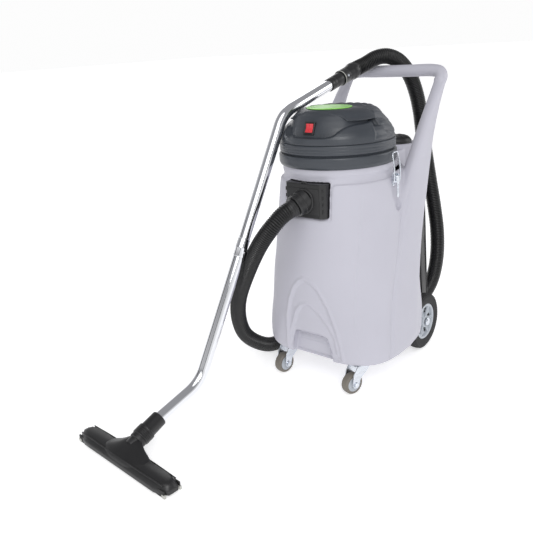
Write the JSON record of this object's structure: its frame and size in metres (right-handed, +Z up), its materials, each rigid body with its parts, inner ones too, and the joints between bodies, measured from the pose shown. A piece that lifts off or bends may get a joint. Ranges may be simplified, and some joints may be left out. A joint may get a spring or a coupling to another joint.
{
  "type": "trolley wet and dry suction cleaner",
  "caption": "Moulded suction-cleaner tank on a four-wheel trolley with push handle, lift-off motor head, toggle latches, ribbed hose, chrome wand and floor squeegee tool.",
  "frame": {"origin": "on the floor, in the middle of the footprint of everything but the hose and the mains lead", "axes": "+Z up; -Y is the front of the machine, where the suction inlet and the floor tool are; +X is its right-hand side as seen from the front camera, the side of the stored tool"},
  "size_m": [0.6741, 1.5094, 1.1103],
  "materials": {
    "shell": "lightly textured roto-moulded polyethylene, pale lilac grey",
    "head": "fine-textured dark slate grey moulding",
    "black_plastic": "satin black moulding",
    "black_rubber": "matt black rubber",
    "hose": "ribbed black hose",
    "badge": "pale lime green, plain",
    "rocker": "translucent red, lit",
    "zinc": "bright zinc plate",
    "steel": "plain steel bar",
    "chrome": "bright chrome tube",
    "aluminium": "pressed sheet",
    "motor": "grey motor casing",
    "float": "white moulding",
    "tyre": "matt black tyre",
    "rim": "light grey moulding",
    "caster_tread": "grey-brown non-marking rubber",
    "squeegee": "soft black blade rubber",
    "mesh": "black knotted net"
  },
  "bodies": {
    "root": {"tank_shell": "shell", "push_handle": "shell", "tower_cap": "black_plastic", "cable_gland": "black_rubber", "cable_hook": "black_plastic", "inlet_block": "black_plastic", "inlet_socket": "black_plastic", "inlet_cuff": "black_plastic", "inlet_deflector": "black_plastic", "rear_axle": "steel", "axle_cap_right": "rim", "axle_cap_left": "rim", "caster_plate_right": "zinc", "caster_plate_left": "zinc", "latch_bracket_right": "zinc", "latch_bracket_left": "zinc", "wand_lower": "chrome", "wand_upper": "chrome", "wand_cuff": "black_plastic", "hose_cuff": "black_plastic", "tool_body": "black_plastic", "squeegee_front": "squeegee", "squeegee_rear": "squeegee", "stored_tool_bar": "black_plastic", "stored_tool_neck": "black_plastic", "mesh_bag": "mesh", "lead_upper": "black_rubber", "lead_hank": "black_rubber", "lead_tail": "black_rubber", "mains_plug": "black_rubber", "suction_hose": "hose"},
    "rear_wheel_right": {"rear_tyre_right": "tyre", "rear_rim_right": "rim"},
    "rear_wheel_left": {"rear_tyre_left": "tyre", "rear_rim_left": "rim"},
    "caster_right": {"caster_fork_right": "zinc", "caster_axle_right": "zinc"},
    "caster_left": {"caster_fork_left": "zinc", "caster_axle_left": "zinc"},
    "caster_wheel_right": {"caster_tread_right": "caster_tread", "caster_hub_right": "rim"},
    "caster_wheel_left": {"caster_tread_left": "caster_tread", "caster_hub_left": "rim"},
    "motor_head": {"head_collar": "head", "head_seal": "black_rubber", "head_base": "black_plastic", "motor_band": "head", "dome_cover": "head", "badge_plate": "badge", "switch_bezel": "black_plastic", "vacuum_motor": "motor", "float_cage": "black_plastic"},
    "rocker": {"rocker_switch": "rocker"},
    "fan": {"motor_fan": "aluminium"},
    "float": {"float_ball": "float"},
    "lever_right": {"latch_lever_right": "zinc"},
    "lever_left": {"latch_lever_left": "zinc"},
    "bail_right": {"latch_bail_right": "zinc"},
    "bail_left": {"latch_bail_left": "zinc"}
  },
  "joints": [
    {"name": "rear_wheel_right_spin", "type": "hinge", "parent": "root", "child": "rear_wheel_right", "pos_m": [0.257, 0.499, 0.108], "axis": [1, 0, 0], "continuous": true},
    {"name": "rear_wheel_left_spin", "type": "hinge", "parent": "root", "child": "rear_wheel_left", "pos_m": [-0.087, 0.499, 0.108], "axis": [1, 0, 0], "continuous": true},
    {"name": "caster_right_swivel", "type": "hinge", "parent": "root", "child": "caster_right", "pos_m": [0.233, 0.086, 0.106], "axis": [0, 0, 1], "continuous": true},
    {"name": "caster_right_roll", "type": "hinge", "parent": "caster_right", "child": "caster_wheel_right", "pos_m": [0.22189, 0.04966, 0.0375], "axis": [0.9563, -0.2924, 0], "continuous": true},
    {"name": "caster_left_swivel", "type": "hinge", "parent": "root", "child": "caster_left", "pos_m": [-0.063, 0.086, 0.106], "axis": [0, 0, 1], "continuous": true},
    {"name": "caster_left_roll", "type": "hinge", "parent": "caster_left", "child": "caster_wheel_left", "pos_m": [-0.06829, 0.04837, 0.0375], "axis": [0.9903, -0.1392, 0], "continuous": true},
    {"name": "head_lift", "type": "slide", "parent": "root", "child": "motor_head", "axis": [0, 0, 1], "range_m": [0, 0.005]},
    {"name": "rocker_tilt", "type": "hinge", "parent": "motor_head", "child": "rocker", "pos_m": [0.085, 0.05176, 0.89163], "axis": [1, 0, 0], "range_deg": [-9, 9]},
    {"name": "fan_spin", "type": "hinge", "parent": "motor_head", "child": "fan", "pos_m": [0.085, 0.204, 0.83], "axis": [0, 0, 1], "continuous": true},
    {"name": "float_rise", "type": "slide", "parent": "motor_head", "child": "float", "axis": [0, 0, 1], "range_m": [0, 0.045]},
    {"name": "latch_right_lever", "type": "hinge", "parent": "root", "child": "lever_right", "pos_m": [0.292, 0.229, 0.722], "axis": [0, -1, 0], "range_deg": [0, 100]},
    {"name": "latch_right_bail", "type": "hinge", "parent": "lever_right", "child": "bail_right", "pos_m": [0.294, 0.229, 0.708], "axis": [0, -1, 0], "range_deg": [-100, 0]},
    {"name": "latch_left_lever", "type": "hinge", "parent": "root", "child": "lever_left", "pos_m": [-0.122, 0.229, 0.722], "axis": [0, 1, 0], "range_deg": [0, 100]},
    {"name": "latch_left_bail", "type": "hinge", "parent": "lever_left", "child": "bail_left", "pos_m": [-0.124, 0.229, 0.708], "axis": [0, 1, 0], "range_deg": [-100, 0]}
  ],
  "couplings": [
    {"joint": "latch_right_bail", "follows": "latch_right_lever", "ratio": -1},
    {"joint": "latch_left_bail", "follows": "latch_left_lever", "ratio": -1}
  ]
}
